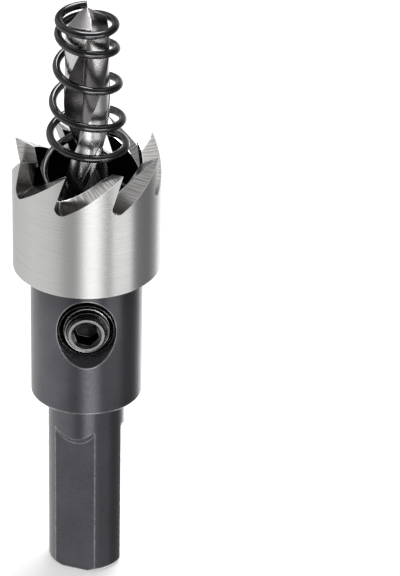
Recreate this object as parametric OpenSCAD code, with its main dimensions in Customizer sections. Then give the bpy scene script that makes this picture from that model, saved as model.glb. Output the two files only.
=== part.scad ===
/* [Shank] */
// Diameter of the shank that goes into the chuck
shank_d = 10; // [9:0.1:12]
// Length of the shank, up to the underside of the body
shank_len = 26; // [22:0.5:36]
// Depth of each chuck flat
flat_depth = 0.85; // [0.5:0.05:1.1]
// Direction of the front flat, in degrees from the screw towards the right
flat_turn = -21; // [-60:1:60]
// Length left fully round between the flats and the body
neck_len = 3.3; // [3:0.1:8]
// Slope of the rounded end of a flat, measured from the flat
flat_end_angle = 40; // [40:1:50]
// Chamfer at the end of the shank
shank_chamfer = 0.5; // [0.3:0.1:0.9]

/* [Arbor body] */
// Diameter of the body
body_d = 14.5; // [14:0.1:16]
// Length of the body, from its underside to the cup
body_len = 18.5; // [16:0.5:26]
// Edge break at the underside of the body
body_chamfer = 0.25; // [0.1:0.05:0.5]
// Width of the cup's floor that shows between its wall and the end of the arbor
floor_ledge = 1.6; // [1.2:0.1:2]

/* [Toothed cup] */
// Diameter of the cup, which is the size of the hole it cuts
cup_d = 19; // [18.6:0.1:22]
// Wall of the cup at the teeth
cup_wall = 2.4; // [1.8:0.1:2.4]
// Height of the cup from its back face to the tooth tips
cup_height = 16.9; // [16:0.1:22]
// Depth of the cup from the tooth tips to its floor
cup_depth = 7.8; // [7.2:0.1:9]
// Edge break round the back of the cup
cup_chamfer = 0.3; // [0.1:0.05:0.6]

/* [Teeth] */
// Number of teeth, which come in two kinds turn by turn
tooth_count = 8; // [8:2:10]
// Direction of the front tooth, in degrees from the screw towards the right
tooth_turn = -16.5; // [-22:0.5:22]
// Height of a tooth above the root of its gullet
tooth_height = 5.3; // [4.6:0.1:5.6]
// Angle by which the cutting face leans back under its edge
hook_angle = 19; // [8:1:20]
// Angle of the flank behind the edge
flank_angle = 37.5; // [36:0.5:42]
// Radius at the root of a gullet
gullet_r = 0.9; // [0.7:0.1:1.3]
// Drop of the inner corner on the teeth with the long bevel
long_bevel_drop = 1.1; // [0.6:0.05:1.3]
// Length of the long bevel along the inner edge
long_bevel_len = 4.2; // [3.2:0.1:4.4]
// Drop of the inner corner on the teeth with the short bevel
short_bevel_drop = 0.6; // [0.3:0.05:0.9]
// Length of the short bevel along the inner edge
short_bevel_len = 1.7; // [1.5:0.1:2.6]
// Width of the land left at the outer corner of a tip
tip_land = 0.12; // [0.05:0.01:0.3]

/* [Pilot drill] */
// Diameter of the pilot drill
drill_d = 5.8; // [5:0.1:6.4]
// How far the drill point stands above the tooth tips
drill_reach = 19.2; // [16:0.1:24]
// Length of the drill shank held in the arbor, from the cup floor down
drill_grip = 23; // [21:0.5:26]
// Length of the flutes with their run-out, from the point
flute_len = 26; // [24:0.5:27]
// Lead of the flutes, the length of one full turn
flute_lead = 40; // [30:1:50]
// Direction of the left edge of a land at the height of the tooth tips
flute_turn = -37; // [-90:1:90]
// Thickness of the web between the flutes
web = 1.1; // [0.9:0.05:1.4]
// Width of a land, in degrees
land_angle = 72; // [60:1:90]
// Full angle of the drill point
point_angle = 118; // [110:1:140]
// Width of the margin at the leading edge of a land, in degrees
margin_angle = 14; // [8:1:20]
// Step from the margin down to the rest of the land
land_relief = 0.12; // [0.05:0.01:0.2]
// Depth of the seat ground on the drill shank for the set screw
seat_depth = 0.65; // [0.45:0.05:0.9]
// Length of that seat
seat_len = 10; // [8:0.5:12]

/* [Ejector spring] */
// Diameter of the spring wire
wire_d = 1; // [0.8:0.05:1.1]
// Free length of the spring, standing on the cup floor
spring_len = 26.3; // [22:0.1:28]

/* [Set screw] */
// Thread diameter of the set screw
screw_d = 6; // [5:0.1:6]
// Length of the set screw
screw_len = 5; // [4.6:0.1:6]
// Distance of the screw axis below the back of the cup
screw_drop = 6.5; // [6:0.1:9]
// Width across the flats of the hexagon socket
socket_af = 3; // [2.5:0.1:3]
// Depth of the hexagon socket
socket_depth = 2.4; // [2:0.1:2.6]
// Direction of the hexagon
socket_turn = 16; // [0:1:30]
// Radius at which the countersink meets the front line of the body
countersink_r = 4.9; // [4.4:0.1:5.2]
// Chamfer on the outer end of the screw
screw_chamfer = 0.64; // [0.4:0.02:0.8]

/* [Fits] */
// Gap round the drill shank in its bore
drill_fit = 0.05; // [0.02:0.01:0.1]
// Gap round the spigot that the braze fills
braze_gap = 0.04; // [0.02:0.01:0.1]
// Gap between the screw and the crests of the tapped hole
screw_fit = 0.06; // [0.02:0.01:0.1]
// Gap between the bottom coil and the wall of the cup
spring_cup_gap = 0.75; // [0.3:0.05:0.9]
// Gap between the top coil and the drill
spring_drill_gap = 0.15; // [0.05:0.01:0.3]

/* [Hidden] */
$fn = 96;
// A little more than a cut needs, so that it passes right through a face
over = 0.5;

// Heights along the axis, from the end of the shank
body_base = shank_len;
cup_base = body_base + body_len;
rim = cup_base + cup_height;
floor_z = rim - cup_depth;
flat_top = shank_len - neck_len;
screw_z = cup_base - screw_drop;
drill_tip = rim + drill_reach;
drill_end = floor_z - drill_grip;

// Radii that several pieces share
shank_r = shank_d / 2;
body_r = body_d / 2;
cup_r = cup_d / 2;
cup_inner_r = cup_r - cup_wall;
spigot_r = min(cup_inner_r - floor_ledge, body_r - over);
drill_r = drill_d / 2;
bore_r = drill_r + drill_fit;
screw_r = screw_d / 2;
tapped_r = screw_r + screw_fit;
seat_y = drill_r - seat_depth;
bore_point = bore_r / tan(point_angle / 2);

// Turns a direction counted from the front towards the right into an angle about the axis
function about(turn) = turn - 90;

// The front face of the arbor is at -Y, where the set screw goes in

// Outline of the arbor, from the axis outwards
module arbor_profile() {
    polygon([
        [0, 0],
        [shank_r - shank_chamfer, 0],
        [shank_r, shank_chamfer],
        [shank_r, body_base],
        [body_r - body_chamfer, body_base],
        [body_r, body_base + body_chamfer],
        [body_r, cup_base],
        [spigot_r, cup_base],
        [spigot_r, floor_z],
        [0, floor_z]
    ]);
}

// Radius of the rounded end of a flat, as a share of half the flat's width: a little
// over 1, so that the end meets both edges of the flat
flat_end_share = 1.04;

// One chuck flat, whose rounded upper end slopes out to the round shank
module chuck_flat() {
    flat_x = shank_r - flat_depth;
    end_r = flat_end_share * sqrt(shank_r * shank_r - flat_x * flat_x);
    rise = flat_depth + over;
    difference() {
        translate([flat_x, -shank_r, -over]) cube([shank_r, shank_d, flat_top + over]);
        translate([flat_x - over, 0, flat_top])
            rotate([0, 90, 0])
                cylinder(
                    r1 = end_r + over / tan(flat_end_angle),
                    r2 = end_r - rise / tan(flat_end_angle),
                    h = rise + over
                );
    }
}

// Blind bore for the drill shank, with a drilled bottom and a broken edge
module drill_bore() {
    translate([0, 0, drill_end])
        cylinder(r = bore_r, h = floor_z - drill_end + over);
    translate([0, 0, drill_end - bore_point])
        cylinder(r1 = 0, r2 = bore_r, h = bore_point);
    translate([0, 0, floor_z - over / 2])
        cylinder(r1 = bore_r, r2 = bore_r + over, h = over);
}

// Tapped hole and its countersink, from the front into the drill bore
module screw_hole() {
    sink_r = countersink_r + over;
    translate([0, 0, screw_z])
        rotate([90, 0, 0]) {
            cylinder(r = tapped_r, h = body_r + over);
            translate([0, 0, body_r + over - sink_r])
                cylinder(r1 = 0, r2 = sink_r, h = sink_r);
        }
}

module arbor() {
    color("dimgray")
        difference() {
            rotate_extrude() arbor_profile();
            for (i = [0:2])
                rotate([0, 0, about(flat_turn) + i * 120]) chuck_flat();
            drill_bore();
            screw_hole();
        }
}

// Outline of the cup without its teeth, up to the roots of the gullets
module cup_profile() {
    root = rim - tooth_height;
    seat_r = spigot_r + braze_gap;
    polygon([
        [seat_r, cup_base],
        [cup_r - cup_chamfer, cup_base],
        [cup_r, cup_base + cup_chamfer],
        [cup_r, root],
        [cup_inner_r, root],
        [cup_inner_r, floor_z],
        [seat_r, floor_z]
    ]);
}

// Side view of one tooth: its edge is at the origin and the flank falls to the left
module tooth_profile() {
    root_x = (tooth_height - gullet_r) * tan(hook_angle) - gullet_r / cos(hook_angle);
    // Height at which the face runs into the root
    face_y = tooth_height - gullet_r * (1 + sin(hook_angle));
    flank_x = tooth_height / tan(flank_angle);
    difference() {
        polygon([
            [0, 0],
            [-flank_x, -tooth_height],
            [-flank_x, -tooth_height - over],
            [-root_x, -tooth_height - over],
            [-root_x, -tooth_height],
            [-face_y * tan(hook_angle), -face_y]
        ]);
        translate([-root_x, gullet_r - tooth_height]) circle(r = gullet_r);
    }
}

// Plane ground across the tip: it drops the inner corner, meets the flank again on the
// inner edge at the length given, and leaves a narrow land at the outer corner
module tip_bevel(drop, len) {
    outer_x = cup_r - tip_land;
    inner_x = sqrt(cup_inner_r * cup_inner_r - len * len);
    lean = atan(drop / (cup_wall - tip_land));
    slope = tan(flank_angle) - tan(lean) * (outer_x - inner_x) / len;
    translate([outer_x, 0, 0])
        rotate([0, -lean, 0])
            rotate([atan(slope * cos(lean)), 0, 0])
                translate([-2 * cup_wall, -1.1 * len, 0])
                    cube([4 * cup_wall, 2 * len, tooth_height]);
}

module tooth(drop, len) {
    difference() {
        rotate([90, 0, 90]) linear_extrude(cup_r + over) tooth_profile();
        tip_bevel(drop, len);
    }
}

module cutter_cup() {
    color("silver")
        union() {
            rotate_extrude() cup_profile();
            intersection() {
                translate([0, 0, rim - tooth_height - over])
                    difference() {
                        cylinder(r = cup_r, h = tooth_height + 2 * over);
                        translate([0, 0, -over])
                            cylinder(r = cup_inner_r, h = tooth_height + 4 * over);
                    }
                translate([0, 0, rim])
                    for (i = [0:tooth_count - 1])
                        rotate([0, 0, about(tooth_turn) + i * 360 / tooth_count])
                            if (i % 2 == 0) tooth(long_bevel_drop, long_bevel_len);
                            else tooth(short_bevel_drop, short_bevel_len);
            }
        }
}

// Half the section of the drill's fluted end as directions and radii. It goes from the
// heel of one land over its margin and down the cutting face, then through the groove
// to the next heel.
heel_r = drill_r - land_relief;
land_steps = 5;
margin_steps = 2;
groove_steps = 12;
// Angle taken by the step up to the margin, and by the cutting face
step_angle = 2;
margin_start = land_angle - margin_angle;
groove_start = land_angle + step_angle;
half_section = concat(
    [for (i = [0:land_steps]) [(margin_start - step_angle) * i / land_steps, heel_r]],
    [for (i = [0:margin_steps]) [margin_start + margin_angle * i / margin_steps, drill_r]],
    [for (i = [0:groove_steps - 1])
        let (a = 90 * i / groove_steps)
        [groove_start + (180 - groove_start) * sin(a), web / 2 + (heel_r - web / 2) * (1 - cos(a))]]
);
section = concat(half_section, [for (p = half_section) [p[0] + 180, p[1]]]);
section_points = len(section);

// Levels of the fluted end
ring_count = 30;
point_rings = 4;
point_len = drill_r / tan(point_angle / 2);
runout_len = 5;
lip_relief = 0.35;
flute_base = drill_tip - flute_len;
side_top = drill_tip - point_len - lip_relief;
side_base = flute_base - over;

// Direction of the heel edge of the first land at height z
function flute_angle(z) = about(flute_turn) + 360 * (z - rim) / flute_lead;
// Least radius left by the cutter as it lifts out of the groove
function runout_r(z) =
    let (rise = max(0, 1 - (z - flute_base) / runout_len))
    web / 2 + (drill_r - web / 2) * rise;
// Largest radius at height z: the lower end is sunk in the shank, so it stays a step smaller
function widest_r(z) = z < flute_base + over ? heel_r : drill_r;
function body_point(p, z) =
    let (r = min(widest_r(z), max(p[1], runout_r(z))), t = p[0] + flute_angle(z))
    [r * cos(t), r * sin(t), z];
// Point of the drill: the flank falls away behind each cutting lip
function tip_point(p, share) =
    let (r = p[1] * share,
         behind = (360 + land_angle - p[0]) % 180,
         z = drill_tip - r / tan(point_angle / 2) - lip_relief * behind / 180 * r / drill_r,
         t = p[0] + flute_angle(drill_tip - point_len))
    [r * cos(t), r * sin(t), z];
fluted_points = concat(
    [for (k = [0:ring_count]) for (p = section)
        body_point(p, side_base + (side_top - side_base) * k / ring_count)],
    [for (k = [0:point_rings - 1]) for (p = section) tip_point(p, 1 - k / point_rings)],
    [[0, 0, drill_tip]]
);

// Faces of a tube of rings: the bottom ring, the sides and a fan to the last point
function ring_sides(rings, n) =
    [for (k = [0:rings - 2]) for (i = [0:n - 1])
        let (a = k * n + i, b = k * n + (i + 1) % n)
        for (f = [[a, a + n, b], [b, a + n, b + n]]) f];
function end_cap(n) = [[for (i = [0:n - 1]) i]];
function fan(first, n, apex) = [for (i = [0:n - 1]) [first + i, apex, first + (i + 1) % n]];

module fluted_end() {
    rings = ring_count + 1 + point_rings;
    polyhedron(
        points = fluted_points,
        faces = concat(
            end_cap(section_points),
            ring_sides(rings, section_points),
            fan((rings - 1) * section_points, section_points, rings * section_points)
        ),
        convexity = 6
    );
}

module pilot_drill() {
    color("darkgray")
        union() {
            fluted_end();
            difference() {
                translate([0, 0, drill_end]) cylinder(r = drill_r, h = flute_base - drill_end);
                translate([-drill_r, -drill_d - seat_y, screw_z - seat_len / 2])
                    cube([drill_d, drill_d, seat_len]);
            }
        }
}

// Path of the spring wire from its top end, one row for each half turn:
// the turn, the height as a share of the whole, and the swell as a share of the whole
coil_path = [
    [0, 1, 0], [0.5, 0.96, 0], [1, 0.95, 0.01], [1.5, 0.862, 0.04], [2, 0.796, 0.08],
    [2.5, 0.672, 0.17], [3, 0.607, 0.27], [3.5, 0.478, 0.38], [4, 0.415, 0.45], [4.5, 0.316, 0.53],
    [5, 0.27, 0.7], [5.5, 0.035, 0.92], [6, 0, 1], [6.5, 0, 1]
];
spring_turns = 6.25;
steps_per_turn = 24;
wire_sides = 10;
top_coil_r = drill_r + spring_drill_gap + wire_d / 2;
base_coil_r = cup_inner_r - spring_cup_gap - wire_d / 2;

// Smooth curve through the rows of a table, by the cubic that matches its neighbours
function row(i, column) = coil_path[max(0, min(len(coil_path) - 1, i))][column];
function smooth(turn, column) =
    let (i = floor(turn * 2), f = turn * 2 - i,
         p0 = row(i - 1, column), p1 = row(i, column), p2 = row(i + 1, column), p3 = row(i + 2, column))
    p1 + f / 2 * (p2 - p0 + f * (2 * p0 - 5 * p1 + 4 * p2 - p3 + f * (3 * (p1 - p2) + p3 - p0)));
// Left-hand coil that starts at the back and comes round by the left to the front
function coil_angle(turn) = 90 + 360 * turn;
function coil_r(turn) = top_coil_r + (base_coil_r - top_coil_r) * smooth(turn, 2);
function coil_z(turn) = floor_z + wire_d / 2 + (spring_len - wire_d) * max(0, smooth(turn, 1));
function coil_ring(turn) =
    let (a = coil_angle(turn), r = coil_r(turn), z = coil_z(turn))
    [for (j = [0:wire_sides - 1])
        let (b = 360 * j / wire_sides, reach = r + wire_d / 2 * cos(b))
        [reach * cos(a), reach * sin(a), z + wire_d / 2 * sin(b)]];

module ejector_spring() {
    steps = floor(spring_turns * steps_per_turn);
    rings = [for (k = [0:steps]) each coil_ring(spring_turns * k / steps)];
    last = steps * wire_sides;
    color("#26262a")
        polyhedron(
            points = rings,
            faces = concat(
                end_cap(wire_sides),
                ring_sides(steps + 1, wire_sides),
                [[for (j = [wire_sides - 1:-1:0]) last + j]]
            ),
            convexity = 8
        );
}

// Outline of the set screw along its axis, with a chamfered face and a cup point
module screw_profile() {
    point_r = screw_r - 1;
    cup_point_r = point_r - 0.5;
    difference() {
        polygon([
            [0, 0],
            [point_r, 0],
            [screw_r, 1],
            [screw_r, screw_len - screw_chamfer],
            [screw_r - screw_chamfer, screw_len],
            [0, screw_len]
        ]);
        polygon([[0, -over], [cup_point_r + over, -over], [0, cup_point_r]]);
    }
}

module set_screw() {
    color("#3a3a3e")
        translate([0, -seat_y, screw_z])
            rotate([90, 0, 0])
                difference() {
                    rotate_extrude() screw_profile();
                    translate([0, 0, screw_len - socket_depth])
                        rotate([0, 0, socket_turn])
                            cylinder(r = socket_af / 2 / cos(30), h = socket_depth + over, $fn = 6);
                }
}

arbor();
cutter_cup();
pilot_drill();
ejector_spring();
set_screw();
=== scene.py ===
import math

import bmesh
import bpy
from mathutils import Matrix, Vector
from mathutils.geometry import delaunay_2d_cdt


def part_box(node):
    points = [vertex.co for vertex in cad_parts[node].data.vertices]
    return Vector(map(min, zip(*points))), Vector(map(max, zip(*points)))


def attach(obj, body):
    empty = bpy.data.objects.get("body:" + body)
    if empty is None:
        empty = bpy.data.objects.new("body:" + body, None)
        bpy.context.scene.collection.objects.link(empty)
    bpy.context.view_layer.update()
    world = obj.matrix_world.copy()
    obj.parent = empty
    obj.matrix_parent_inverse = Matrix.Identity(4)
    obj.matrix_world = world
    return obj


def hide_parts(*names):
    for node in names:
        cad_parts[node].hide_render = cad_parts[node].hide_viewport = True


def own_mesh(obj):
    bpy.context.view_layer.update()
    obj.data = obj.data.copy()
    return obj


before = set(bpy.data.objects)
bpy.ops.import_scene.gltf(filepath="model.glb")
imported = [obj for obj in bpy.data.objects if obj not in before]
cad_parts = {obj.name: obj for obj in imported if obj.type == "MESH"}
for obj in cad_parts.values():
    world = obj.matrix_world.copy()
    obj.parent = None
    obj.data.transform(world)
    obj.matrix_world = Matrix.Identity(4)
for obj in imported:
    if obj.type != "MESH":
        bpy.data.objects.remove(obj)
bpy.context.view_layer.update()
mm = 0.001
joinWithin = 0.002 * mm
sliver = 0.0005 * mm


def cadBox(node):  # lowest and highest corner of a CAD node, in millimetres
    low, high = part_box(node)
    return Vector(low) / mm, Vector(high) / mm


def polar(radius, turn, height):  # a point at a direction from the front towards the right, in radians
    return (radius * math.sin(turn), -radius * math.cos(turn), height)


def spread(start, stop, count):  # evenly spaced values from start, the last one short of stop
    return [start + (stop - start) * i / count for i in range(count)]


def quads(rows, columns, closed=False):  # faces between neighbouring rows of points
    faces = []
    for k in range(rows - 1):
        for i in range(columns if closed else columns - 1):
            after = (i + 1) % columns
            faces.append((k * columns + i, k * columns + after,
                          (k + 1) * columns + after, (k + 1) * columns + i))
    return faces


def addObject(name, data):
    obj = bpy.data.objects.new(name, data)
    bpy.context.scene.collection.objects.link(obj)
    return obj


# Camera, where the photograph was taken from
photoView = {
    "place": (0.0, -0.3564, 0.2389),
    "turnRight": 2.36,  # this and the next two in degrees
    "lookDown": 29.02,
    "roll": 1.26,
    "lens": 196.7,
    "sensorHeight": 36,
    "near": 0.01,
    "far": 5,
}


def makeCamera(view):
    turn, down, roll = (math.radians(view[k]) for k in ("turnRight", "lookDown", "roll"))
    ahead = Vector((math.sin(turn) * math.cos(down), math.cos(turn) * math.cos(down), -math.sin(down)))
    level = Vector((math.cos(turn), -math.sin(turn), 0))
    overhead = level.cross(ahead)
    right = level * math.cos(roll) + overhead * math.sin(roll)
    up = overhead * math.cos(roll) - level * math.sin(roll)
    data = bpy.data.cameras.new("photoCamera")
    data.sensor_fit = "VERTICAL"
    data.sensor_height = view["sensorHeight"]
    data.lens = view["lens"]
    data.clip_start = view["near"]
    data.clip_end = view["far"]
    camera = addObject("photoCamera", data)
    facing = Matrix((right, up, -ahead)).transposed().to_4x4()
    camera.matrix_world = Matrix.Translation(view["place"]) @ facing
    bpy.context.scene.camera = camera


makeCamera(photoView)
print("camera in place")


# Node helpers, used by every tree below
def addNode(tree, kind, values=None, **settings):
    node = tree.nodes.new(kind)
    for name, value in settings.items():
        setattr(node, name, value)
    for name, value in (values or {}).items():
        feed(tree, value, node.inputs[name])
    return node


def feed(tree, value, socket):
    if isinstance(value, bpy.types.NodeSocket):
        tree.links.new(value, socket)
    else:
        socket.default_value = value


def calc(tree, operation, a, b=0.0, c=0.0):  # one Math node, returns its result
    node = addNode(tree, "ShaderNodeMath", {0: a, 1: b, 2: c}, operation=operation)
    return node.outputs[0]


def vectorCalc(tree, operation, a, b=(0.0, 0.0, 0.0)):
    node = addNode(tree, "ShaderNodeVectorMath", {0: a, 1: b}, operation=operation)
    return node.outputs["Value" if operation in ("LENGTH", "DOT_PRODUCT") else "Vector"]


def combine(tree, x, y, z):
    return addNode(tree, "ShaderNodeCombineXYZ", {0: x, 1: y, 2: z}).outputs[0]


def separate(tree, vector):
    return addNode(tree, "ShaderNodeSeparateXYZ", {0: vector}).outputs


def objectPlace(tree):
    return addNode(tree, "ShaderNodeTexCoord").outputs["Object"]


def noise(tree, place, scale, detail):
    values = {"Vector": place, "Scale": scale, "Detail": detail}
    return addNode(tree, "ShaderNodeTexNoise", values).outputs[0]


def ramp(tree, value, stops):  # greys at places along a value, eased between them
    node = addNode(tree, "ShaderNodeValToRGB", {"Fac": value})
    band = node.color_ramp
    band.interpolation = "EASE"
    while len(band.elements) < len(stops):
        band.elements.new(0.5)
    for element, (place, _) in zip(band.elements, stops):
        element.position = place
    for element, (_, tone) in zip(band.elements, stops):
        element.color = (tone, tone, tone, 1)
    return node.outputs["Color"]


def remap(tree, value, low, high, outLow=0.0, outHigh=1.0):
    node = addNode(tree, "ShaderNodeMapRange", {0: value, 1: low, 2: high, 3: outLow, 4: outHigh})
    node.interpolation_type = "SMOOTHSTEP"
    return node.outputs[0]


def mixTones(tree, share, a, b):
    node = addNode(tree, "ShaderNodeMix", data_type="RGBA")
    feed(tree, share, node.inputs[0])
    feed(tree, a if isinstance(a, bpy.types.NodeSocket) else (*a, 1), node.inputs[6])
    feed(tree, b if isinstance(b, bpy.types.NodeSocket) else (*b, 1), node.inputs[7])
    return node.outputs[2]


def newMaterial(name):  # a material with an empty node tree
    material = bpy.data.materials.new(name)
    material.use_nodes = True
    material.node_tree.nodes.clear()
    return material, material.node_tree


# Studio: a white surround whose softer and darker stretches give round metal its bands.
# Spans are of the direction's part sideways, towards the camera or upwards, from -1 to 1.
studio = {
    "bands": [  # direction in degrees from the front towards the right, and brightness
        (-180, 0.85), (-150, 0.66), (-120, 0.74), (-90, 0.82), (-60, 0.78), (-45, 0.68), (-33, 0.46),
        (-18, 0.38), (-9, 0.66), (-1, 1.4), (15, 1.5), (22, 1.05), (32, 0.42), (42, 0.42), (70, 0.4),
        (78, 0.3), (85, 0.2), (115, 0.18), (130, 0.4), (150, 1.2), (165, 1.4), (180, 0.85),
    ],
    "overheadLeft": 0.52,
    "overheadRight": 0.5,
    "leftToRight": (-0.3, 0.3),
    "bandsToOverhead": (0.25, 0.75),
    "wallShade": 0.6,  # how much darker the room is at the height of its walls
    "wallFoot": (0.0, 0.2),
    "wallTop": (0.8, 0.62),
    "frontShade": 0.7,  # and above the camera's side
    "sideToFront": (0.0, 0.5),
    "horizon": (-0.12, 0.1),
    "strips": [  # long lamps: angle from the front horizon upwards, sideways reach and brightness
        ((94, 124), (-0.06, 0.34), 10.0),
        ((-16, 0), (-0.06, 0.85), 6.0),
    ],
    "stripFade": 0.06,
    "softbox": {"turn": -128, "height": 32, "inner": 12, "outer": 26, "glow": 0.8},  # in degrees
    "floorRadius": 3.0,
    "floorTone": 0.8,
    "floorLift": 0.5,  # light added where the camera sees the floor
}


def makeWorld(values):
    world = bpy.data.worlds.new("whiteStudio")
    bpy.context.scene.world = world
    world.use_nodes = True
    tree = world.node_tree
    tree.nodes.clear()
    direction = addNode(tree, "ShaderNodeTexCoord").outputs["Generated"]
    x, y, z = separate(tree, direction)
    front = calc(tree, "MULTIPLY", y, -1.0)
    share = calc(tree, "MULTIPLY_ADD", calc(tree, "ARCTAN2", x, front), 1 / (2 * math.pi), 0.5)
    bands = ramp(tree, share, [((angle + 180) / 360, tone) for angle, tone in values["bands"]])
    overhead = mixTones(tree, remap(tree, x, *values["leftToRight"]),
                        (values["overheadLeft"],) * 3, (values["overheadRight"],) * 3)
    lit = mixTones(tree, remap(tree, z, *values["bandsToOverhead"]), bands, overhead)
    wall = calc(tree, "MULTIPLY", remap(tree, z, *values["wallFoot"]), remap(tree, z, *values["wallTop"]))
    facing = calc(tree, "MULTIPLY", remap(tree, front, *values["sideToFront"]),
                  remap(tree, z, *values["horizon"]))
    shade = calc(tree, "MAXIMUM", calc(tree, "MULTIPLY", wall, values["wallShade"]),
                 calc(tree, "MULTIPLY", facing, values["frontShade"]))
    lit = mixTones(tree, shade, lit, (0.0, 0.0, 0.0))
    angle = calc(tree, "ARCTAN2", z, front)
    fade = values["stripFade"]
    for (start, stop), (left, right), glow in values["strips"]:
        inside = calc(tree, "MULTIPLY", calc(tree, "GREATER_THAN", angle, math.radians(start)),
                      calc(tree, "LESS_THAN", angle, math.radians(stop)))
        ends = calc(tree, "MULTIPLY", remap(tree, x, left - fade, left + fade),
                    remap(tree, x, right + fade, right - fade))
        lit = mixTones(tree, calc(tree, "MULTIPLY", inside, ends), lit, (glow,) * 3)
    box = values["softbox"]
    turn, height, inner, outer = (math.radians(box[k]) for k in ("turn", "height", "inner", "outer"))
    aim = Vector(polar(math.cos(height), turn, math.sin(height)))
    away = calc(tree, "ARCCOSINE", vectorCalc(tree, "DOT_PRODUCT", direction, aim))
    lit = mixTones(tree, remap(tree, away, outer, inner), lit, (box["glow"],) * 3)
    ray = addNode(tree, "ShaderNodeLightPath").outputs
    seen = mixTones(tree, ray["Is Camera Ray"], lit, (1, 1, 1))
    background = addNode(tree, "ShaderNodeBackground", {"Color": seen, "Strength": 1.0}).outputs[0]
    addNode(tree, "ShaderNodeOutputWorld", {"Surface": background})


def makeFloor(values):
    data = bpy.data.meshes.new("studioFloor")
    sheet = bmesh.new()
    bmesh.ops.create_circle(sheet, cap_ends=True, segments=64, radius=values["floorRadius"])
    sheet.to_mesh(data)
    sheet.free()
    floor = addObject("studioFloor", data)
    paint, tree = newMaterial("paleFloor")
    ray = addNode(tree, "ShaderNodeLightPath").outputs
    tone = values["floorTone"]
    matt = addNode(tree, "ShaderNodeBsdfDiffuse", {"Color": (tone, tone, tone, 1)}).outputs[0]
    glow = {"Color": (1, 1, 1, 1), "Strength": values["floorLift"]}
    lift = addNode(tree, "ShaderNodeEmission", glow).outputs[0]
    both = addNode(tree, "ShaderNodeAddShader", {0: matt, 1: lift}).outputs[0]
    bare = addNode(tree, "ShaderNodeMixShader", {0: ray["Is Camera Ray"], 1: matt, 2: both}).outputs[0]
    clear = addNode(tree, "ShaderNodeBsdfTransparent").outputs[0]
    through = calc(tree, "MAXIMUM", ray["Is Glossy Ray"], ray["Is Transmission Ray"])
    shown = addNode(tree, "ShaderNodeMixShader", {0: through, 1: bare, 2: clear}).outputs[0]
    addNode(tree, "ShaderNodeOutputMaterial", {"Surface": shown})
    data.materials.append(paint)


card = {
    "distance": 66 * mm,
    "from": 37,
    "to": 70,
    "low": 6 * mm,
    "high": 34 * mm,
    "columns": 9,
    "glow": 1.15,
}


def makeCard(values):  # a small white card that only the bright cup reflects
    columns = values["columns"]
    wide = values["to"] - values["from"]
    turns = [math.radians(values["from"] + wide * i / (columns - 1)) for i in range(columns)]
    points = [polar(values["distance"], t, z) for z in (values["low"], values["high"]) for t in turns]
    data = bpy.data.meshes.new("reflectorCard")
    data.from_pydata(points, [], quads(2, columns))
    sheet = addObject("reflectorCard", data)
    paint, tree = newMaterial("whiteCard")
    glow = {"Color": (1, 1, 1, 1), "Strength": values["glow"]}
    lit = addNode(tree, "ShaderNodeEmission", glow).outputs[0]
    addNode(tree, "ShaderNodeOutputMaterial", {"Surface": lit})
    data.materials.append(paint)
    sheet.visible_camera = sheet.visible_diffuse = sheet.visible_shadow = False


topLamp = {"place": (0.29, -0.02, 0.57), "aim": (0, 0, 0.04), "size": 0.3, "power": 0.05}


def makeLamp(name, values):
    data = bpy.data.lights.new(name, "AREA")
    data.shape = "DISK"
    data.size = values["size"]
    data.energy = values["power"]
    lamp = addObject(name, data)
    lamp.location = values["place"]
    towards = Vector(values["aim"]) - Vector(values["place"])
    lamp.rotation_euler = towards.to_track_quat("-Z", "Y").to_euler()


makeWorld(studio)
makeFloor(studio)
makeCard(card)
makeLamp("overheadSoftbox", topLamp)
bpy.context.scene.view_settings.view_transform = "Standard"
print("studio ready")


# Shader groups that several metals share
def makeGroup(name, inputs, outputs):
    group = bpy.data.node_groups.new(name, "ShaderNodeTree")
    for label, value in inputs:
        socket = group.interface.new_socket(label, in_out="INPUT", socket_type="NodeSocketFloat")
        socket.default_value = value
    for label, kind in outputs:
        group.interface.new_socket(label, in_out="OUTPUT", socket_type="NodeSocket" + kind)
    entry = group.nodes.new("NodeGroupInput").outputs
    end = group.nodes.new("NodeGroupOutput").inputs
    return group, entry, end


wearAndGlintLook = {
    "patchScale": 900.0,
    "patches": (0.35, 0.6),  # noise at which an edge starts to be rubbed and to carry its painted highlight, and where it has most of both
    "bend": (0.004, 0.04),  # the same for the bend of the surface
}


def makeWearAndGlint(values):  # rubbed edges and painted edge highlights, broken up by noise
    inputs = [("Width", 0.1 * mm), ("Breakup", 0.5)]
    group, given, end = makeGroup("wearAndGlint", inputs, [("Mask", "Float")])
    rounded = addNode(group, "ShaderNodeBevel", {"Radius": given["Width"]}, samples=6).outputs[0]
    flat = addNode(group, "ShaderNodeNewGeometry").outputs["Normal"]
    bend = calc(group, "SUBTRACT", 1.0, vectorCalc(group, "DOT_PRODUCT", rounded, flat))
    patches = remap(group, noise(group, objectPlace(group), values["patchScale"], 3.0), *values["patches"])
    gaps = calc(group, "MULTIPLY", patches, given["Breakup"])
    solid = calc(group, "SUBTRACT", 1.0, given["Breakup"])
    wornAndGlinting = calc(group, "MULTIPLY", remap(group, bend, *values["bend"]), calc(group, "ADD", gaps, solid))
    feed(group, wornAndGlinting, end["Mask"])
    return group


def makeTurningLines():  # fine tool marks round the axis, and round it on the end faces
    inputs = [("Lines per mm", 9.0), ("Run", 0.12)]
    group, given, end = makeGroup("turningLines", inputs, [("Lines", "Float")])
    split = separate(group, objectPlace(group))
    fine = calc(group, "MULTIPLY", given["Lines per mm"], 1 / mm)
    slow = calc(group, "MULTIPLY", given["Run"], 1 / mm)
    radius = vectorCalc(group, "LENGTH", combine(group, split[0], split[1], 0.0))
    along = calc(group, "MULTIPLY", calc(group, "ADD", split[2], radius), fine)
    sideways = calc(group, "MULTIPLY", split[0], slow)
    back = calc(group, "MULTIPLY", split[1], slow)
    feed(group, noise(group, combine(group, sideways, back, along), 1.0, 2.0), end["Lines"])
    return group


skinLook = {"cloudScale": 180.0, "cloudShare": 0.6, "grainShare": 0.4}


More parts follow.
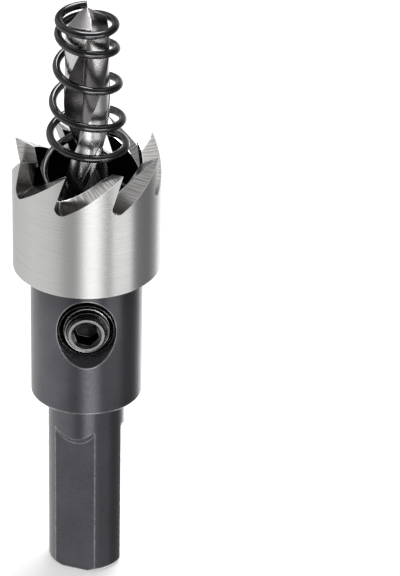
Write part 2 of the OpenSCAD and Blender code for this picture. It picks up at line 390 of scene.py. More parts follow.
def makeSkin(values):  # the mottled, slightly grainy skin of blackened steel
    outputs = [("Tone", "Float"), ("Height", "Float")]
    group, given, end = makeGroup("blackenedSkin", [("Grain", 2600.0)], outputs)
    place = objectPlace(group)
    clouds = noise(group, place, values["cloudScale"], 5.0)
    grain = noise(group, place, given["Grain"], 2.0)
    tone = calc(group, "ADD", calc(group, "MULTIPLY", clouds, values["cloudShare"]),
                calc(group, "MULTIPLY", grain, values["grainShare"]))
    feed(group, tone, end["Tone"])
    feed(group, grain, end["Height"])
    return group


def makeCrevice():  # grime and shade where faces meet inwards
    group, given, end = makeGroup("crevice", [("Reach", 1.5 * mm)], [("Mask", "Float")])
    openness = addNode(group, "ShaderNodeAmbientOcclusion", {"Distance": given["Reach"]}, samples=8)
    feed(group, remap(group, openness.outputs["AO"], 0.8, 0.25), end["Mask"])
    return group


def makeRoundNormal():  # the true normal of a surface that was turned about the axis
    group, _, end = makeGroup("roundNormal", [], [("Normal", "Vector")])
    split = separate(group, objectPlace(group))
    outward = vectorCalc(group, "NORMALIZE", combine(group, split[0], split[1], 0.0))
    turned = addNode(group, "ShaderNodeVectorTransform", {0: outward}, vector_type="NORMAL",
                     convert_from="OBJECT", convert_to="WORLD")
    feed(group, turned.outputs[0], end["Normal"])
    return group


wearAndGlint = makeWearAndGlint(wearAndGlintLook)
turningLines = makeTurningLines()
blackenedSkin = makeSkin(skinLook)
roundNormal = makeRoundNormal()
crevice = makeCrevice()


def startMaterial(name):  # a metal, with its tree and the inputs of its shader
    material, tree = newMaterial(name)
    shader = addNode(tree, "ShaderNodeBsdfPrincipled", {"Metallic": 1.0})
    addNode(tree, "ShaderNodeOutputMaterial", {"Surface": shader.outputs[0]})
    return material, tree, shader.inputs


def useGroup(tree, group, **values):
    node = addNode(tree, "ShaderNodeGroup", node_tree=group)
    for name, value in values.items():
        feed(tree, value, node.inputs[name.replace("_", " ")])
    return node.outputs


def bump(tree, height, distance, normal=None):
    values = {"Height": height, "Distance": distance, "Strength": 1.0}
    if normal is not None:
        values["Normal"] = normal
    return addNode(tree, "ShaderNodeBump", values).outputs[0]


turnedSteel = {
    "dark": (0.64, 0.635, 0.63),
    "light": (0.71, 0.705, 0.7),
    # edge: a painted highlight along the cup's edges
    "edge": (0.95, 0.95, 0.95),
    "wearAndGlintWidth": 0.12 * mm,
    "linesPerMm": 22.0,
    "lineDepth": 0.0002 * mm,
    "rough": (0.3, 0.22),
}


def makeTurnedSteel(values):
    material, tree, shader = startMaterial("turnedSteel")
    lines = useGroup(tree, turningLines, Lines_per_mm=values["linesPerMm"])["Lines"]
    wornAndGlinting = useGroup(tree, wearAndGlint, Width=values["wearAndGlintWidth"])["Mask"]
    tone = mixTones(tree, remap(tree, lines, 0.25, 0.75), values["dark"], values["light"])
    feed(tree, mixTones(tree, wornAndGlinting, tone, values["edge"]), shader["Base Color"])
    feed(tree, remap(tree, lines, 0.2, 0.8, *values["rough"]), shader["Roughness"])
    normal = useGroup(tree, roundNormal)["Normal"]
    feed(tree, bump(tree, lines, values["lineDepth"], normal), shader["Normal"])
    return material


groundSteel = {
    "dark": (0.38, 0.372, 0.366),
    "light": (0.77, 0.76, 0.75),
    "root": (0.16, 0.152, 0.148),
    # edge: a painted highlight along the tooth edges
    "edge": (0.95, 0.95, 0.95),
    "wearAndGlintWidth": 0.24 * mm,
    "wearAndGlintBreakup": 0.15,
    "linesRound": 16.0,  # how fast the grinding lines change round the axis, upwards and outwards
    "linesUp": 5600.0,
    "linesOut": 220.0,
    "lineDepth": 0.0006 * mm,
    "rough": (0.26, 0.18),
    "rim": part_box("cutter_cup")[1][2],
    "rootBelow": 5.3 * mm,  # under the rim, where the dark root begins to give way and where it ends
    "rootAbove": 3.9 * mm,
}


def makeGroundSteel(values):  # tooth faces, with grinding lines across them
    material, tree, shader = startMaterial("groundSteel")
    split = separate(tree, objectPlace(tree))
    turn = calc(tree, "ARCTAN2", split[0], calc(tree, "MULTIPLY", split[1], -1.0))
    rising = calc(tree, "MULTIPLY", split[2], values["linesUp"])
    slanted = calc(tree, "MULTIPLY_ADD", turn, values["linesRound"], rising)
    outward = vectorCalc(tree, "LENGTH", combine(tree, split[0], split[1], 0.0))
    stretched = combine(tree, calc(tree, "MULTIPLY", outward, values["linesOut"]), slanted, 0.0)
    lines = noise(tree, stretched, 1.0, 3.0)
    wornAndGlinting = useGroup(tree, wearAndGlint, Width=values["wearAndGlintWidth"], Breakup=values["wearAndGlintBreakup"])["Mask"]
    tone = mixTones(tree, remap(tree, lines, 0.3, 0.7), values["dark"], values["light"])
    low, high = values["rim"] - values["rootBelow"], values["rim"] - values["rootAbove"]
    tone = mixTones(tree, remap(tree, split[2], low, high), values["root"], tone)
    feed(tree, mixTones(tree, wornAndGlinting, tone, values["edge"]), shader["Base Color"])
    feed(tree, remap(tree, lines, 0.3, 0.7, *values["rough"]), shader["Roughness"])
    feed(tree, bump(tree, lines, values["lineDepth"]), shader["Normal"])
    return material


blackOxide = {
    "dark": (0.094, 0.09, 0.106),
    "light": (0.126, 0.121, 0.143),
    # the dark tone for painted shade and grime
    "shadeAndGrimeTone": (0.02, 0.019, 0.02),
    "shadeUnderCup": 0.5,  # painted shade on the skin under the cup's overhang, strongest at the cup
    "shadeUnderCupWidth": 7 * mm,
    "cupBase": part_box("cutter_cup")[0][2],
    # edge colour: rubbed bare steel, also painted lighter as the edges' highlight
    "wornAndGlinting": (0.6, 0.59, 0.6),
    "wearAndGlintWidth": 0.28 * mm,
    "wearAndGlintBreakup": 0.45,
    "grainScale": 4200.0,
    "grainDepth": 0.0025 * mm,
    "rough": (0.3, 0.22),
    "oil": 0.7,
    "oilRough": 0.24,
}


def makeBlackOxide(values):
    material, tree, shader = startMaterial("blackOxide")
    skin = useGroup(tree, blackenedSkin, Grain=values["grainScale"])
    wornAndGlinting = useGroup(tree, wearAndGlint, Width=values["wearAndGlintWidth"], Breakup=values["wearAndGlintBreakup"])["Mask"]
    tone = mixTones(tree, remap(tree, skin["Tone"], 0.35, 0.65), values["dark"], values["light"])
    height = separate(tree, objectPlace(tree))[2]
    base = values["cupBase"]
    # painted shade under the cup, darker towards the cup's base
    shadeUnderCup = remap(tree, height, base - values["shadeUnderCupWidth"], base, 0.0, values["shadeUnderCup"])
    # painted shade and grime in crevices, and painted shade under the cup
    shadeAndGrime = calc(tree, "MAXIMUM", useGroup(tree, crevice)["Mask"], shadeUnderCup)
    tone = mixTones(tree, shadeAndGrime, tone, values["shadeAndGrimeTone"])
    feed(tree, mixTones(tree, wornAndGlinting, tone, values["wornAndGlinting"]), shader["Base Color"])
    feed(tree, remap(tree, skin["Tone"], 0.3, 0.7, *values["rough"]), shader["Roughness"])
    feed(tree, values["oil"], shader["Coat Weight"])
    feed(tree, values["oilRough"], shader["Coat Roughness"])
    feed(tree, bump(tree, skin["Height"], values["grainDepth"]), shader["Normal"])
    return material


plainMetal = {
    "grainScale": 5000.0,
    "lighter": 1.3,  # the light patches of the skin against its dark ones
    "wearAndGlintWidth": 0.1 * mm,
    "roughSpread": 0.05,
}


def makePlainMetal(name, colour, rough, edge=None, grain=0.0):  # the depth of the grain is in millimetres
    material, tree, shader = startMaterial(name)
    skin = useGroup(tree, blackenedSkin, Grain=plainMetal["grainScale"])
    lighter = tuple(c * plainMetal["lighter"] for c in colour)
    feed(tree, bump(tree, skin["Height"], grain * mm), shader["Normal"])
    tone = mixTones(tree, skin["Tone"], colour, lighter)
    # edge: rubbed edges, painted lighter as their highlight too
    if edge is not None:
        tone = mixTones(tree, useGroup(tree, wearAndGlint, Width=plainMetal["wearAndGlintWidth"])["Mask"], tone, edge)
    feed(tree, tone, shader["Base Color"])
    more, less = rough + plainMetal["roughSpread"], rough - plainMetal["roughSpread"]
    feed(tree, remap(tree, skin["Tone"], 0.3, 0.7, more, less), shader["Roughness"])
    return material


steelFinish = makeTurnedSteel(turnedSteel)
toothFinish = makeGroundSteel(groundSteel)
oxideFinish = makeBlackOxide(blackOxide)
insideFinish = makePlainMetal("blackInside", (0.02, 0.02, 0.022), rough=0.5, edge=(0.5, 0.5, 0.5))
drillFinish = makePlainMetal("drillSteel", (0.68, 0.67, 0.665), rough=0.24, edge=(0.95, 0.95, 0.95),
                             grain=0.003)
fluteFinish = makePlainMetal("darkFlute", (0.21, 0.202, 0.2), rough=0.28, edge=(0.9, 0.9, 0.9), grain=0.02)
pointFinish = makePlainMetal("groundPoint", (0.23, 0.223, 0.222), rough=0.42, edge=(0.9, 0.9, 0.9),
                             grain=0.02)
wireFinish = makePlainMetal("springWire", (0.078, 0.077, 0.08), rough=0.07)
screwFinish = makePlainMetal("screwSteel", (0.07, 0.068, 0.072), rough=0.28, edge=(0.55, 0.55, 0.55))
# a lighter grey for rubbed rims, also a painted highlight on the screw's face ring and the hole's rim
rubbedAndHighlitFinish = makePlainMetal("rubbedAndHighlitSteel", (0.2, 0.195, 0.2), rough=0.3, edge=(0.85, 0.85, 0.85))
print("materials ready")


# Mesh helpers
def newObject(name, points, faces=(), edges=()):  # points in millimetres
    data = bpy.data.meshes.new(name)
    data.from_pydata([Vector(p) * mm for p in points], edges, faces)
    return addObject(name, data)


def pathObject(name, points):
    return newObject(name, points, edges=[(i, i + 1) for i in range(len(points) - 1)])


def markZones(obj, zones):  # a number on every face, which outlasts the node groups
    marks = obj.data.attributes.new("zone", "INT", "FACE")
    marks.data.foreach_set("value", zones)


def paintZones(obj, finishes):  # adds finishes and gives every face the one with its number
    for finish in finishes:
        obj.data.materials.append(finish)
    for face, zone in zip(obj.data.polygons, obj.data.attributes["zone"].data):
        face.material_index = zone.value


def closeUp(obj, sharpAbove=28):  # joins doubled points, turns faces outward and shades
    shape = bmesh.new()
    shape.from_mesh(obj.data)
    bmesh.ops.remove_doubles(shape, verts=shape.verts, dist=joinWithin)
    bmesh.ops.dissolve_degenerate(shape, edges=shape.edges, dist=sliver)
    bmesh.ops.recalc_face_normals(shape, faces=shape.faces)
    shape.to_mesh(obj.data)
    shape.free()
    obj.data.polygons.foreach_set("use_smooth", [True] * len(obj.data.polygons))
    obj.data.set_sharp_from_angle(angle=math.radians(sharpAbove))


def grow(obj, group, **values):  # runs a node group on an object and keeps the result as a plain mesh
    modifier = obj.modifiers.new(group.name, "NODES")
    modifier.node_group = group
    for item in group.interface.items_tree:
        if item.in_out == "INPUT" and item.name in values:
            modifier[item.identifier] = values[item.name]
    obj.data.materials.append(values["Finish"])
    depsgraph = bpy.context.evaluated_depsgraph_get()
    grown = bpy.data.meshes.new_from_object(obj.evaluated_get(depsgraph))
    obj.modifiers.remove(modifier)
    obj.data = grown
    for slot in reversed(range(len(grown.materials))):
        if grown.materials[slot] is None:
            grown.materials.pop(index=slot)
    grown.name = obj.name


def makeShapeGroup(name, inputs):  # an empty Geometry Nodes group with named inputs
    group = bpy.data.node_groups.new(name, "GeometryNodeTree")
    group.interface.new_socket("Geometry", in_out="INPUT", socket_type="NodeSocketGeometry")
    for label, kind, value in inputs:
        socket = group.interface.new_socket(label, in_out="INPUT", socket_type="NodeSocket" + kind)
        if value is not None:
            socket.default_value = value
    group.interface.new_socket("Geometry", in_out="OUTPUT", socket_type="NodeSocketGeometry")
    return group, group.nodes.new("NodeGroupInput").outputs, group.nodes.new("NodeGroupOutput").inputs


def weld(group, geometry, within):
    values = {"Geometry": geometry, "Distance": within}
    return addNode(group, "GeometryNodeMergeByDistance", values).outputs[0]


def endShape(group, geometry, given, end):  # every group ends with real geometry and its finish
    real = addNode(group, "GeometryNodeRealizeInstances", {"Geometry": geometry}).outputs[0]
    painted = addNode(group, "GeometryNodeSetMaterial", {"Geometry": real, "Material": given["Finish"]})
    feed(group, painted.outputs[0], end["Geometry"])


def makeRingGroup():  # copies one sector round the axis and welds the copies together
    inputs = [("Sectors", "Int", 4), ("Finish", "Material", None)]
    group, given, end = makeShapeGroup("sectorRing", inputs)
    spots = addNode(group, "GeometryNodePoints", {"Count": given["Sectors"]}).outputs[0]
    step = calc(group, "DIVIDE", 2 * math.pi, given["Sectors"])
    turn = calc(group, "MULTIPLY", addNode(group, "GeometryNodeInputIndex").outputs[0], step)
    facing = addNode(group, "FunctionNodeEulerToRotation", {0: combine(group, 0.0, 0.0, turn)}).outputs[0]
    copies = addNode(group, "GeometryNodeInstanceOnPoints",
                     {"Points": spots, "Instance": given["Geometry"], "Rotation": facing}).outputs[0]
    real = addNode(group, "GeometryNodeRealizeInstances", {"Geometry": copies}).outputs[0]
    endShape(group, weld(group, real, joinWithin), given, end)
    return group


def makeWireGroup():  # a wire or a ridge of even thickness along a path
    inputs = [("Thickness", "Float", 1.0 * mm), ("Sides", "Int", 20), ("Finish", "Material", None)]
    group, given, end = makeShapeGroup("wireAlongPath", inputs)
    path = addNode(group, "GeometryNodeMeshToCurve", {"Mesh": given["Geometry"]}).outputs[0]
    upright = addNode(group, "GeometryNodeSetCurveNormal", {"Curve": path}).outputs[0]
    circle = {"Resolution": given["Sides"], "Radius": calc(group, "MULTIPLY", given["Thickness"], 0.5)}
    ring = addNode(group, "GeometryNodeCurvePrimitiveCircle", circle).outputs[0]
    tube = addNode(group, "GeometryNodeCurveToMesh",
                   {"Curve": upright, "Profile Curve": ring, "Fill Caps": True}).outputs[0]
    endShape(group, tube, given, end)
    return group


sectorRing = makeRingGroup()
wireAlongPath = makeWireGroup()


# Toothed cup. Directions are counted from the front towards the right, heights from the rim.
cupLow, cupHigh = cadBox("cutter_cup")
cup = {
    "radius": cupHigh.x,
    "wall": 2.4,
    "depth": 7.8,
    "boreRadius": 5.54,
    "chamfer": 0.3,
    "rim": cupHigh.z,
    "base": cupLow.z,
    "sectorSteps": 24,
    "innerRings": [0, 0.25, 0.5, 0.75],  # shares of the wall at which the tooth faces have points
    "netSize": 1.1,  # spacing of the points inside a wall
    "netClear": 0.45,  # their least distance from its outline
    "netTop": -0.3,  # and the level they stay under
    "outlineStep": 0.004,  # points of the outline closer than this are left out
}
teeth = {
    "pairs": 4,
    "turn": -16.5,
    "height": 5.3,
    "hook": math.radians(19),
    "flank": math.radians(37.5),
    "gulletRadius": 0.9,
    "land": 0.12,
    "bevels": [(1.1, 4.2), (0.6, 1.7)],  # drop and length, for the two kinds of tooth
    "bevelReach": 1.03,  # how far along the flank a bevel is looked for, in lengths
    "steps": {"flank": 12, "bevel": 8, "face": 6, "gullet": 14},
    "rounds": {"tip": 4, "crease": 40, "gullet": 20},  # how often each place is worked out more closely
    "stride": 0.02,  # first search along a gullet
}
pitch = math.radians(180 / teeth["pairs"])
cupInner = cup["radius"] - cup["wall"]


def bevelPlane(bevel):  # slopes of the bevel inwards and along the flank, and where it starts
    drop, length = bevel
    outer = cup["radius"] - teeth["land"]
    inner = math.sqrt(cupInner ** 2 - length ** 2)
    lean = drop / (cup["wall"] - teeth["land"])
    return lean, math.tan(teeth["flank"]) - lean * (outer - inner) / length, outer


def flankHeight(radius, turn, bevel):
    x, y = radius * math.cos(turn), radius * math.sin(turn)
    lean, slope, outer = bevelPlane(bevel)
    ground = 0.0
    if y > -teeth["bevelReach"] * bevel[1]:
        ground = lean * (x - outer) + slope * y
    return min(y * math.tan(teeth["flank"]), ground)


def tipOf(radius, bevel):  # sideways place and height of the edge at a radius
    lean, slope, outer = bevelPlane(bevel)
    hook = math.tan(teeth["hook"])
    height = 0.0
    for _ in range(teeth["rounds"]["tip"]):
        x = math.sqrt(radius ** 2 - (height * hook) ** 2)
        height = min(0.0, lean * (x - outer) / (1 - slope * hook))
    return height * hook, height


def creaseOf(radius, bevel):  # direction at which the bevel gives way to the flank
    lean, slope, outer = bevelPlane(bevel)
    near, far = tipOf(radius, bevel)[0], -bevel[1]
    if radius >= outer:
        return math.asin(near / radius)
    for _ in range(teeth["rounds"]["crease"]):
        middle = (near + far) / 2
        reach = math.sqrt(radius ** 2 - middle ** 2) - outer
        if lean * reach < (math.tan(teeth["flank"]) - slope) * middle:
            near = middle
        else:
            far = middle
    return math.asin(near / radius)


def gulletPoint(way):  # from the foot of the face round the root and on along the gullet's floor
    root, hook = teeth["gulletRadius"], teeth["hook"]
    centre = root / math.cos(hook) - (teeth["height"] - root) * math.tan(hook)
    arc = root * (math.pi / 2 + hook)
    if way > arc:
        return centre + way - arc, -teeth["height"]
    angle = math.pi - hook + way / root
    return centre + root * math.cos(angle), root - teeth["height"] + root * math.sin(angle)


def gulletEnd(radius, nextBevel):  # how far the gullet reaches before it meets the next flank
    def room(way):
        y, z = gulletPoint(way)
        return z - flankHeight(radius, math.asin(y / radius) - pitch, nextBevel)

    way = 0.0
    while room(way) > 0:
        way += teeth["stride"]
    low, high = way - teeth["stride"], way
    for _ in range(teeth["rounds"]["gullet"]):
        middle = (low + high) / 2
        if room(middle) > 0:
            low = middle
        else:
            high = middle
    return high


def rimLine(radius):  # one pair of teeth at one radius, as directions and heights
    points = []
    steps = teeth["steps"]
    footY, footZ = gulletPoint(0)
    for index in range(2):
        bevel, nextBevel = teeth["bevels"][index], teeth["bevels"][1 - index]
        before = pitch * index
        start = math.asin(gulletPoint(gulletEnd(radius, bevel))[0] / radius) - pitch
        crease = creaseOf(radius, bevel)
        tipY, tipZ = tipOf(radius, bevel)
        tip = math.asin(tipY / radius)
        for turn in spread(start, crease, steps["flank"]) + spread(crease, tip, steps["bevel"]):
            points.append((before + turn, flankHeight(radius, turn, bevel)))
        for y, z in zip(spread(tipY, footY, steps["face"]), spread(tipZ, footZ, steps["face"])):
            points.append((before + math.asin(y / radius), z))
        for way in spread(0, gulletEnd(radius, nextBevel), steps["gullet"]):
            y, z = gulletPoint(way)
            points.append((before + math.asin(y / radius), z))
    points.append((points[0][0] + 2 * pitch, points[0][1]))
    return points


def wallFaces(radius, line, bottom):  # a stretch of round wall under the rim line, as a flat net
    net = [(turn * radius, z) for turn, z in line]
    outline = [net[0]] + [b for a, b in zip(net, net[1:]) if math.dist(a, b) > cup["outlineStep"]]
    left, right = outline[0][0], outline[-1][0]
    across = spread(left, right, cup["sectorSteps"])[1:]
    down = spread(bottom, outline[0][1], 4)
    outline += [(right, z) for z in reversed(down)]
    outline += [(u, bottom) for u in reversed(across)]
    outline += [(left, z) for z in down]
    inside = []
    for u in across:
        z = bottom + cup["netSize"]
        while z < cup["netTop"]:
            if all(math.dist((u, z), p) > cup["netClear"] for p in outline):
                inside.append((u, z))
            z += cup["netSize"]
    points, _, faces, _, _, _ = delaunay_2d_cdt([Vector(p) for p in outline + inside], [],
                                                [list(range(len(outline)))], 1, 1e-5)
    return [polar(radius, u / radius, z) for u, z in points], [list(f) for f in faces]


def makeCutterCup(values):
    levels = values["innerRings"] + [1 - teeth["land"] / values["wall"], 1]
    radii = [cupInner + values["wall"] * share for share in levels]
    lines = [rimLine(radius) for radius in radii]
    points, faces, zones = [], [], []  # zone 0 is turned, 1 ground and 2 black

    def add(newPoints, newFaces, zone):
        start = len(points)
        points.extend(newPoints)
        faces.extend([start + i for i in f] for f in newFaces)
        zones.extend([zone] * len(newFaces))

    grid = [polar(r, turn, z) for r, line in zip(radii, lines) for turn, z in line]
    add(grid, quads(len(radii), len(lines[0])), 1)
    base = values["base"] - values["rim"]
    add(*wallFaces(values["radius"], lines[-1], base + values["chamfer"]), 0)
    add(*wallFaces(cupInner, lines[0], -values["depth"]), 2)
    outerStart, innerStart = lines[-1][0][0], lines[0][0][0]
    rings = [  # radius, height, first direction, and the zone of the band that ends here
        (values["radius"], base + values["chamfer"], outerStart, 0),
        (values["radius"] - values["chamfer"], base, outerStart, 0),
        (values["boreRadius"], base, innerStart, 2),
        (values["boreRadius"], -values["depth"], innerStart, 2),
        (cupInner, -values["depth"], innerStart, 2),
    ]
    steps = values["sectorSteps"]
    turns = [2 * pitch * k / steps for k in range(steps + 1)]
    for (r1, z1, t1, _), (r2, z2, t2, zone) in zip(rings, rings[1:]):
        strip = [polar(r1, t1 + t, z1) for t in turns] + [polar(r2, t2 + t, z2) for t in turns]
        add(strip, quads(2, len(turns)), zone)
    obj = newObject("cutterCup", points, faces)
    markZones(obj, zones)
    turned = Matrix.Rotation(math.radians(teeth["turn"]), 4, "Z")
    obj.data.transform(Matrix.Translation((0, 0, values["rim"] * mm)) @ turned)
    grow(obj, sectorRing, Sectors=teeth["pairs"], Finish=steelFinish)
    closeUp(obj)
    paintZones(obj, (toothFinish, insideFinish))
    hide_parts("cutter_cup")
    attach(obj, "cutter")


makeCutterCup(cup)
print("cup built")


# Twist drill, with its angles in degrees
drillLow, drillHigh = cadBox("pilot_drill")
drill = {
    "radius": drillHigh.x,
    "base": drillLow.z,
    "tip": drillHigh.z,
    "fluteLength": 26.0,
    "runOut": 5.0,
    "lead": 40.0,
    "heelTurn": -37.0,
    "landAngle": 72.0,
    "marginAngle": 14.0,
    "relief": 0.12,
    "web": 1.1,
    "stepAngle": 2.0,
    "stepTurn": 0.7,  # shares of the step's angle and of the radius, on the way down into a groove
    "stepRadii": (0.75, 0.5),
    "pointAngle": 118.0,
    "lipRelief": 0.35,
    "seat": (33.0, 43.0, -2.25),  # lowest and highest level of the ground seat, and its place
    "steps": {"land": 12, "margin": 4, "groove": 28},
    "sunk": 0.15,  # a groove's face counts as dark from this depth on
    "marked": 0.1,  # and a face belongs to the groove or the point above this share of its corners
}


def drillSection(values):  # directions and radii round the fluted end, heel to heel, for both lands
    heel, core = values["radius"] - values["relief"], values["web"] / 2
    marginStart = values["landAngle"] - values["marginAngle"]
    grooveStart = values["landAngle"] + values["stepAngle"]
    steps = values["steps"]
    half = [((marginStart - values["stepAngle"]) * i / steps["land"], heel) for i in range(steps["land"] + 1)]
    half += [(marginStart + values["marginAngle"] * i / steps["margin"], values["radius"])
             for i in range(steps["margin"] + 1)]
    landPoints = len(half)
    stepTurn = values["landAngle"] + values["stepAngle"] * values["stepTurn"]
    half += [(stepTurn, values["radius"] * share) for share in values["stepRadii"]]
    for angle in spread(0, math.pi / 2, steps["groove"]):
        direction = grooveStart + (180 - grooveStart) * math.sin(angle)
        half.append((direction, core + (heel - core) * (1 - math.cos(angle))))
    first = [(d, r, i >= landPoints) for i, (d, r) in enumerate(half)]
    return first + [(d + 180, r, groove) for d, r, groove in first]


def makeFluteGroup():  # sweeps a section up a helix, fades it into the shank and brings it to a point
    inputs = [("Rows", "Int", 220), ("Point Rows", "Int", 12), ("Finish", "Material", None)]
    inputs += [(label, "Float", None) for label in (
        "Base", "Tip", "Lead", "Turn", "Run-out Start", "Run-out", "Web Radius", "Radius", "Point Slope",
        "Lip Relief", "Seat Low", "Seat High", "Seat Place")]
    group, given, end = makeShapeGroup("flutedSweep", inputs)

    def do(operation, a, b=0.0, c=0.0):
        return calc(group, operation, a, b, c)

    sizes = addNode(group, "GeometryNodeAttributeDomainSize", {"Geometry": given["Geometry"]}).outputs
    columns = sizes["Point Count"]
    grid = addNode(group, "GeometryNodeMeshGrid",
                   {"Vertices X": do("ADD", columns, 1.0), "Vertices Y": given["Rows"]}).outputs[0]
    index = addNode(group, "GeometryNodeInputIndex").outputs[0]
    column = do("FLOOR", do("DIVIDE", do("ADD", index, 0.5), given["Rows"]))
    row = do("SUBTRACT", index, do("MULTIPLY", column, given["Rows"]))
    which = do("MODULO", column, columns)

    def sample(value, kind):
        values = {"Geometry": given["Geometry"], "Value": value, "Index": which}
        return addNode(group, "GeometryNodeSampleIndex", values, data_type=kind).outputs[0]

    def named(name):
        values = addNode(group, "GeometryNodeInputNamedAttribute", {"Name": name}, data_type="FLOAT")
        return sample(values.outputs[0], "FLOAT")

    spot = sample(addNode(group, "GeometryNodeInputPosition").outputs[0], "FLOAT_VECTOR")
    behind, groove = named("behind"), named("groove")
    split = separate(group, spot)
    sectionRadius = vectorCalc(group, "LENGTH", spot)
    direction = do("ARCTAN2", split[1], split[0])
    fall = do("ADD", given["Point Slope"], do("MULTIPLY", given["Lip Relief"], behind))
    edge = do("SUBTRACT", given["Tip"], do("MULTIPLY", sectionRadius, fall))
    bodyRows = do("SUBTRACT", do("SUBTRACT", given["Rows"], given["Point Rows"]), 1.0)
    rise = do("DIVIDE", do("MAXIMUM", do("SUBTRACT", row, 1.0), 0.0), do("SUBTRACT", bodyRows, 1.0))
    bodyShare = do("MINIMUM", rise, 1.0)
    pointShare = do("DIVIDE", do("MAXIMUM", do("SUBTRACT", row, bodyRows), 0.0), given["Point Rows"])
    level = do("MULTIPLY_ADD", do("SUBTRACT", edge, given["Base"]), bodyShare, given["Base"])
    runOut = do("DIVIDE", do("SUBTRACT", level, given["Run-out Start"]), given["Run-out"])
    lifted = do("MAXIMUM", do("SUBTRACT", 1.0, runOut), 0.0)
    depth = do("SUBTRACT", given["Radius"], given["Web Radius"])
    floorRadius = do("MULTIPLY_ADD", depth, lifted, given["Web Radius"])
    bodyRadius = do("MINIMUM", given["Radius"], do("MAXIMUM", sectionRadius, floorRadius))
    shut = do("MULTIPLY", do("SUBTRACT", 1.0, pointShare), do("MINIMUM", row, 1.0))
    radius = do("MULTIPLY", bodyRadius, shut)
    twist = do("MULTIPLY_ADD", do("DIVIDE", level, given["Lead"]), 2 * math.pi, given["Turn"])
    turn = do("ADD", direction, twist)
    height = do("MULTIPLY_ADD", do("SUBTRACT", given["Tip"], edge), pointShare, level)
    x = do("MULTIPLY", radius, do("COSINE", turn))
    y = do("MULTIPLY", radius, do("SINE", turn))
    aboveLow = do("GREATER_THAN", level, given["Seat Low"])
    onSeat = do("MULTIPLY", aboveLow, do("LESS_THAN", level, given["Seat High"]))
    flattened = do("MAXIMUM", y, given["Seat Place"])
    y = do("MULTIPLY_ADD", do("SUBTRACT", flattened, y), onSeat, y)
    placed = addNode(group, "GeometryNodeSetPosition",
                     {"Geometry": grid, "Position": combine(group, x, y, height)}).outputs[0]
    for name, value in (("ground", do("GREATER_THAN", pointShare, 0.0)), ("groove", groove)):
        values = {"Geometry": placed, "Name": name, "Value": value}
        placed = addNode(group, "GeometryNodeStoreNamedAttribute", values,
                         data_type="FLOAT", domain="POINT").outputs[0]
    endShape(group, weld(group, placed, sliver), given, end)
    return group


def makeTwistDrill(values):
    section = drillSection(values)
    points = [(r * math.cos(math.radians(a)), r * math.sin(math.radians(a)), 0) for a, r, _ in section]
    obj = newObject("twistDrill", points)
    behind = obj.data.attributes.new("behind", "FLOAT", "POINT")
    behind.data.foreach_set("value", [((360 + values["landAngle"] - a) % 180) / 180 for a, _, _ in section])
    groove = obj.data.attributes.new("groove", "FLOAT", "POINT")
    groove.data.foreach_set("value", [float(g) for _, _, g in section])
    low, high, place = values["seat"]
    sizes = {
        "Base": values["base"] * mm,
        "Tip": values["tip"] * mm,
        "Lead": values["lead"] * mm,
        "Turn": math.radians(values["heelTurn"] - 90) - 2 * math.pi * cup["rim"] / values["lead"],
        "Run-out Start": (values["tip"] - values["fluteLength"]) * mm,
        "Run-out": values["runOut"] * mm,
        "Web Radius": values["web"] / 2 * mm,
        "Radius": values["radius"] * mm,
        "Point Slope": 1 / math.tan(math.radians(values["pointAngle"] / 2)),
        "Lip Relief": values["lipRelief"] / values["radius"],
        "Seat Low": low * mm,
        "Seat High": high * mm,
        "Seat Place": place * mm,
    }
    grow(obj, makeFluteGroup(), Finish=drillFinish, **sizes)
    closeUp(obj, sharpAbove=35)
    obj.data.materials.append(fluteFinish)
    obj.data.materials.append(pointFinish)
    ground, groove = (obj.data.attributes[name].data for name in ("ground", "groove"))
    for face in obj.data.polygons:
        count = len(face.vertices)
        onPoint = sum(ground[v].value for v in face.vertices) / count
        inGroove = sum(groove[v].value for v in face.vertices) / count
        sunk = math.hypot(face.center.x, face.center.y) < (values["radius"] - values["sunk"]) * mm
        dark = inGroove > values["marked"] and sunk
        face.material_index = 2 if onPoint > values["marked"] else int(dark)
    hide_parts("pilot_drill")
    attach(obj, "cutter")


makeTwistDrill(drill)
print("drill built")


# Ejector spring: a left-hand coil. Each row is half a turn on, with its shares of height and widening
spring = {
    "wire": 1.0,
    "sides": 20,
    "turns": 6.25,
    "stepsPerTurn": 64,
    "topRadius": 3.55,
    "baseRadius": 5.85,
    "rows": [
        (1, 0), (0.96, 0), (0.95, 0.01), (0.862, 0.04), (0.796, 0.08), (0.672, 0.17), (0.607, 0.27),
        (0.478, 0.38), (0.415, 0.45), (0.316, 0.53), (0.27, 0.7), (0.035, 0.92), (0, 1), (0, 1),
    ],
}


def smoothRow(rows, turn, column):  # a smooth curve through the rows
    index = int(math.floor(turn * 2))
    f = turn * 2 - index
    p = [rows[max(0, min(len(rows) - 1, index + k))][column] for k in (-1, 0, 1, 2)]
    curve = 2 * p[0] - 5 * p[1] + 4 * p[2] - p[3] + f * (3 * (p[1] - p[2]) + p[3] - p[0])
    return p[1] + f / 2 * (p[2] - p[0] + f * curve)


def makeSpring(values):
    low, high = cadBox("ejector_spring")
    bottom, top = low.z + values["wire"] / 2, high.z - values["wire"] / 2
    points = []
    count = int(values["turns"] * values["stepsPerTurn"])
    for i in range(count + 1):
        turn = values["turns"] * i / count
        widening = (values["baseRadius"] - values["topRadius"]) * smoothRow(values["rows"], turn, 1)
        height = bottom + (top - bottom) * max(0, smoothRow(values["rows"], turn, 0))
        points.append(polar(values["topRadius"] + widening, math.pi + 2 * math.pi * turn, height))
    obj = pathObject("ejectorSpring", points)
    grow(obj, wireAlongPath, Thickness=values["wire"] * mm, Sides=values["sides"], Finish=wireFinish)
    closeUp(obj, sharpAbove=50)
    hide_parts("ejector_spring")
    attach(obj, "ejector")
    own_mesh(obj)


makeSpring(spring)
print("spring built")


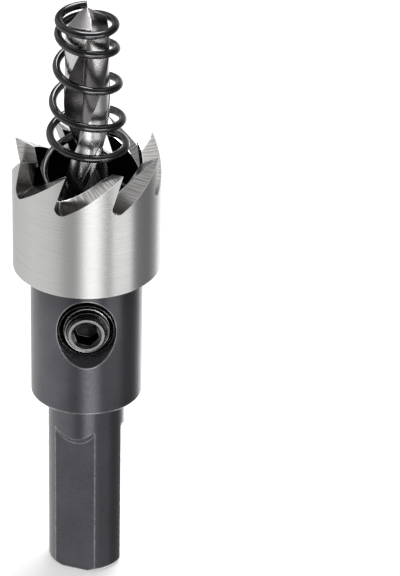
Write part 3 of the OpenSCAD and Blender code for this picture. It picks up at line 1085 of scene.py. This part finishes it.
# Set screw, its thread, and the thread that shows in the mouth of its hole
screwLow, screwHigh = cadBox("set_screw")
screw = {
    "level": (screwLow.z + screwHigh.z) / 2,
    "face": -screwLow.y,
    "length": screwHigh.y - screwLow.y,
    "crestRadius": (screwHigh.z - screwLow.z) / 2,
    "coreRadius": 2.52,
    "rimRadius": 2.33,
    "rimRounding": 0.06,
    "mouthRadius": 2.0,
    "mouthDepth": 0.3,
    "socketAcross": 3.0,
    "socketDepth": 2.4,
    "socketTurn": 16.0,
    "coneDepth": 0.55,
    "pointBevel": 1.0,
    "sides": 72,
}


def hexRadius(across, angle, turn):  # how far a hexagon reaches in a direction
    half = 30
    off = (math.degrees(angle) - turn + half) % (2 * half) - half
    return across / 2 / math.cos(math.radians(off))


def makeSetScrew(values):
    sides, length = values["sides"], values["length"]
    core, rim, rounding = values["coreRadius"], values["rimRadius"], values["rimRounding"]
    rings = [  # shape, radius or share of the hexagon, depth, and the zone of the band that starts here
        ("round", 0.0, values["socketDepth"] + values["coneDepth"], 2),
        ("hex", 0.97, values["socketDepth"], 2),
        ("hex", 1.0, values["mouthDepth"], 0),
        ("round", values["mouthRadius"], 0.0, 1),
        ("round", rim - rounding, 0.0, 1),
        ("round", rim, rounding, 0),
        ("round", core, values["mouthDepth"], 0),
        ("round", core, length - values["pointBevel"], 0),
        ("round", values["crestRadius"] - values["pointBevel"], length, 0),
        ("round", 0.0, length, 0),
    ]
    points = []
    for shape, size, depth, _ in rings:
        for i in range(sides):
            angle = 2 * math.pi * i / sides
            radius = size
            if shape == "hex":
                radius = hexRadius(values["socketAcross"], angle, values["socketTurn"]) * size
            points.append((radius * math.cos(angle), depth - values["face"],
                           values["level"] + radius * math.sin(angle)))
    obj = newObject("setScrew", points, quads(len(rings), sides, closed=True))
    markZones(obj, [ring[-1] for ring in rings[:-1] for _ in range(sides)])
    closeUp(obj, sharpAbove=30)
    paintZones(obj, (screwFinish, rubbedAndHighlitFinish, insideFinish))
    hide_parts("set_screw")
    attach(obj, "cutter")


threads = {  # from and to under the screw's outer face, first and last radius, and a ridge's width
    "screwThread": {"from": 0.45, "to": screw["length"] - 1.2, "radii": (2.45, screw["crestRadius"] - 0.3),
                    "ridge": 0.6, "pitch": 0.8},
    # holeRim: a ring at the hole's edge in the lighter grey, partly a painted highlight
    "holeRim": {"from": 1.36, "to": 1.41, "radii": (3.54, 3.54), "ridge": 0.2, "pitch": 0.05},
    "holeThread": {"from": 1.66, "to": 2.2, "radii": (3.3, 3.14), "ridge": 0.24, "pitch": 0.36},
}


def makeThread(name, finish):  # a helical ridge round the screw's axis
    values = threads[name]
    start, stop = values["from"], values["to"]
    first, last = values["radii"]
    points = []
    turns = (stop - start) / values["pitch"]
    count = int(turns * screw["sides"])
    for i in range(count + 1):
        share = i / count
        angle = -2 * math.pi * turns * share
        radius = first + (last - first) * min(1.0, share * turns)
        points.append((radius * math.cos(angle), start + (stop - start) * share - screw["face"],
                       screw["level"] + radius * math.sin(angle)))
    obj = pathObject(name, points)
    grow(obj, wireAlongPath, Thickness=values["ridge"] * mm, Sides=4, Finish=finish)
    closeUp(obj, sharpAbove=30)
    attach(obj, "cutter")


makeSetScrew(screw)
makeThread("screwThread", screwFinish)
makeThread("holeRim", rubbedAndHighlitFinish)
makeThread("holeThread", screwFinish)
print("screw built")

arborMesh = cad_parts["arbor"].data
arborMesh.materials.clear()
arborMesh.materials.append(oxideFinish)
print("arbor painted")
